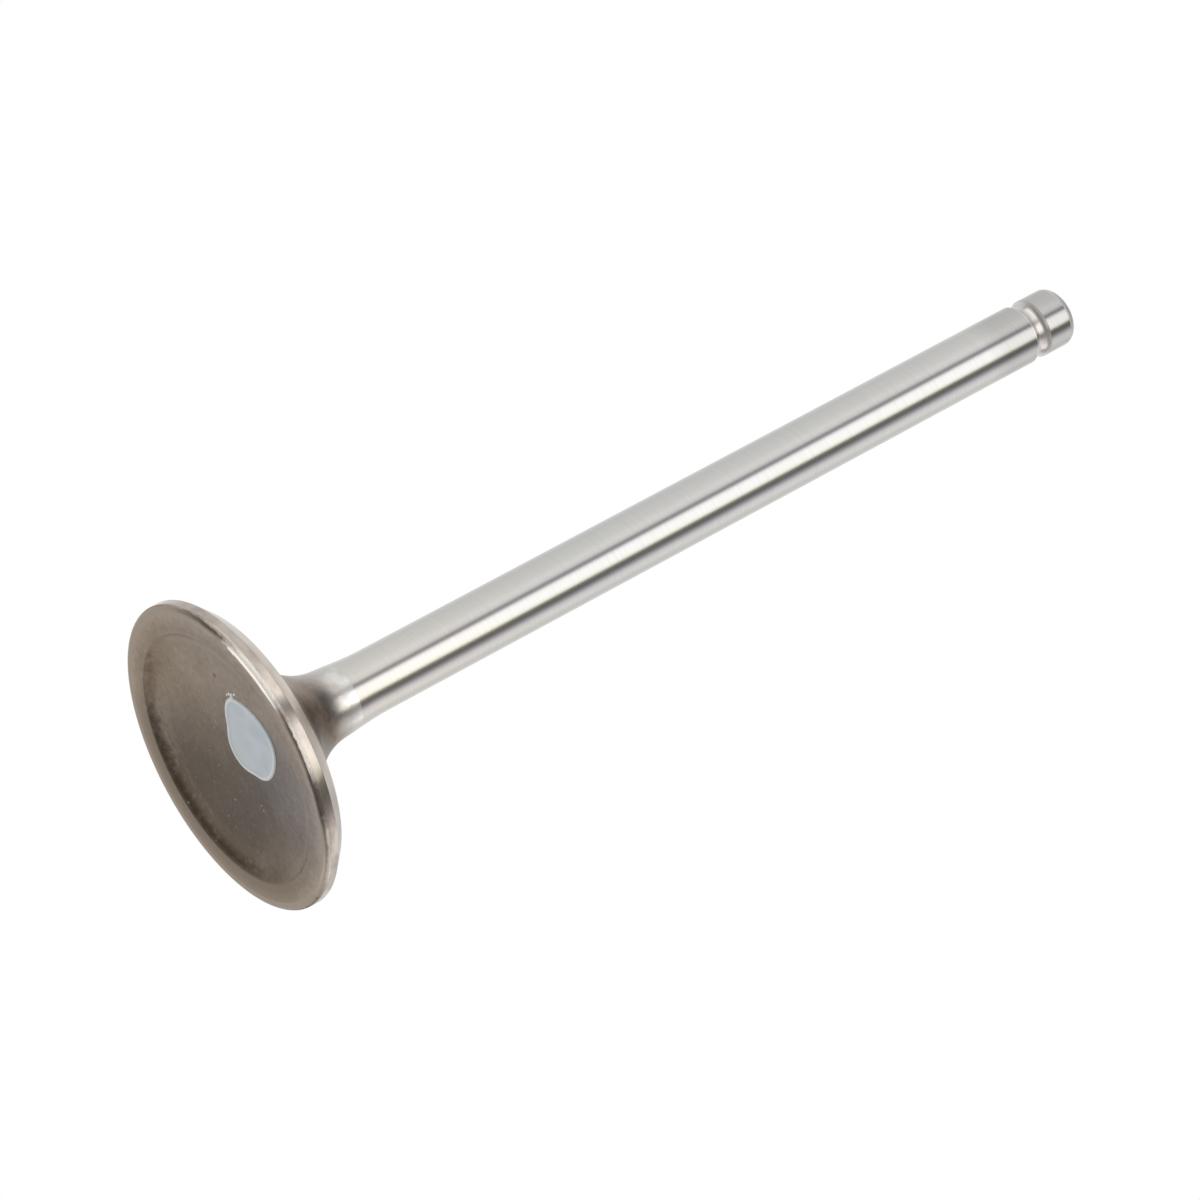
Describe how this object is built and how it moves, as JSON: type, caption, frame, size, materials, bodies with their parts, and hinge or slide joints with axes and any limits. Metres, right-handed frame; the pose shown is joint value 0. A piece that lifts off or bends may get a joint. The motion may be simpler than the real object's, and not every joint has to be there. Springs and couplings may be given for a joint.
{
  "type": "engine valve",
  "caption": "One-piece poppet valve with a dished round head, a conical sealing band, a flared neck, a long ground stem and a keeper groove near its tip.",
  "frame": {"origin": "centre of the head's face, in the plane of its rim, on which the valve stands", "axes": "+Z along the stem from the head to the tip; the part is the same all round it"},
  "size_m": [0.03, 0.03, 0.1011],
  "materials": {
    "valve_steel": "satin",
    "marking_paint": "gloss"
  },
  "bodies": {
    "root": {"valve": "valve_steel"}
  },
  "joints": []
}
